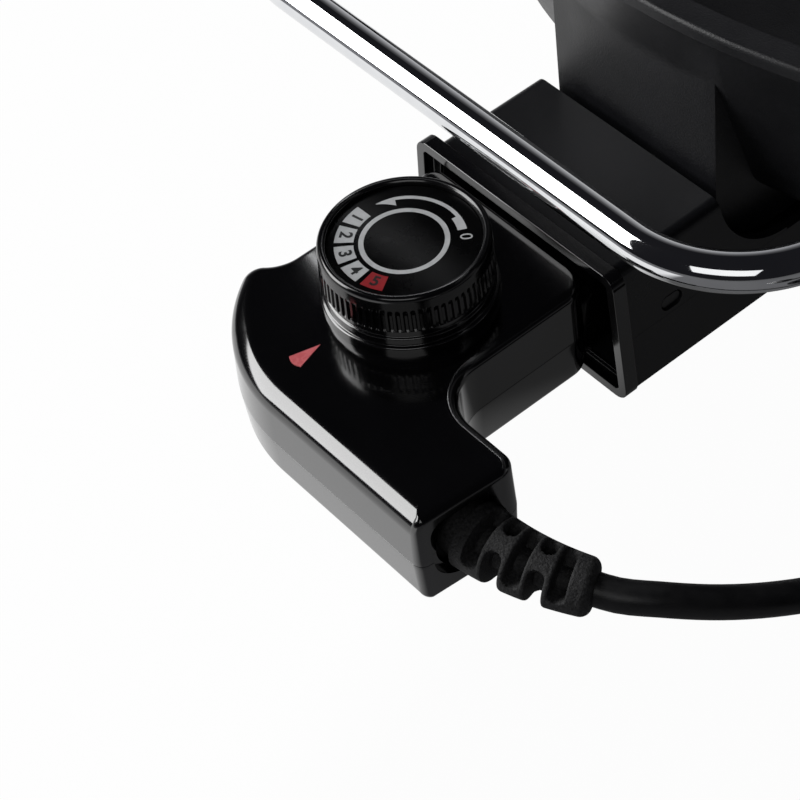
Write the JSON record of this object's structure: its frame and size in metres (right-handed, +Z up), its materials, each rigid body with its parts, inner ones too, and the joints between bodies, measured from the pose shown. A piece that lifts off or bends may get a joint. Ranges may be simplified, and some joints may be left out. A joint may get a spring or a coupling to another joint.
{
  "type": "electric skillet",
  "caption": "Round cast electric skillet on feet with bar handles, a cast-in heating ring, and a plug-in dial control with heat probe and coiled mains lead.",
  "frame": {"origin": "on the table, under the middle of the object without its lead", "axes": "+Z up, -Y towards the control and its socket, +X towards the side where the lead leaves the control"},
  "size_m": [0.4417, 0.5638, 0.1025],
  "materials": {
    "coated_aluminium": "black non-stick coat, slightly grainy",
    "sheath_steel": "heat-darkened",
    "plated_steel": "nickel plate",
    "white_ceramic": "unglazed",
    "satin_black_plastic": "satin moulded",
    "gloss_black_plastic": "glossy moulded",
    "knob_plastic": "glossy rim, knurled skirt",
    "dial_print": "satin with white and red numbers",
    "chromed_bar": "polished",
    "red_lens": "translucent red",
    "lamp_glass": "clear",
    "contact_brass": "plain",
    "brown_moulding": "hard moulding",
    "boot_rubber": "satin",
    "lead_rubber": "satin",
    "tie_rubber": "matt",
    "foot_rubber": "matt"
  },
  "bodies": {
    "skillet": {"pan": "coated_aluminium", "heating_element": "sheath_steel", "terminal_pins": "plated_steel", "pin_insulators": "white_ceramic", "probe_sleeve": "plated_steel", "socket_box_upper": "satin_black_plastic", "socket_box_lower": "satin_black_plastic", "socket_collar": "satin_black_plastic", "tray_screws": "plated_steel", "front_handle": "chromed_bar", "rear_handle": "chromed_bar", "handle_screws": "plated_steel", "foot_front_left": "satin_black_plastic", "foot_front_right": "satin_black_plastic", "foot_rear_left": "satin_black_plastic", "foot_rear_right": "satin_black_plastic", "pad_front_left": "foot_rubber", "pad_front_right": "foot_rubber", "pad_rear_left": "foot_rubber", "pad_rear_right": "foot_rubber", "foot_screws": "plated_steel"},
    "control": {"control_upper_shell": "gloss_black_plastic", "control_lower_shell": "gloss_black_plastic", "shell_screws": "plated_steel", "pointer_lens": "red_lens", "pilot_lamp": "lamp_glass", "probe": "plated_steel", "earth_clip": "contact_brass", "contact_sleeves": "contact_brass", "contact_block": "brown_moulding", "switch_leaves": "contact_brass", "cord_clamp": "satin_black_plastic", "strain_relief": "boot_rubber", "cord": "lead_rubber", "cord_coil": "lead_rubber", "cord_tail": "lead_rubber", "coil_tie": "tie_rubber", "plug_body": "boot_rubber", "plug_pins": "plated_steel", "plug_earth_strips": "contact_brass"},
    "dial": {"dial_knob": "knob_plastic", "dial_face": "dial_print", "dial_shaft": "plated_steel"}
  },
  "joints": [
    {"name": "control_pull", "type": "slide", "parent": "skillet", "child": "control", "axis": [0, -1, 0], "range_m": [0, 0.11]},
    {"name": "dial_turn", "type": "hinge", "parent": "control", "child": "dial", "pos_m": [0, -0.2376, 0.0517], "axis": [0, 0, 1], "range_deg": [-25, 211]}
  ]
}
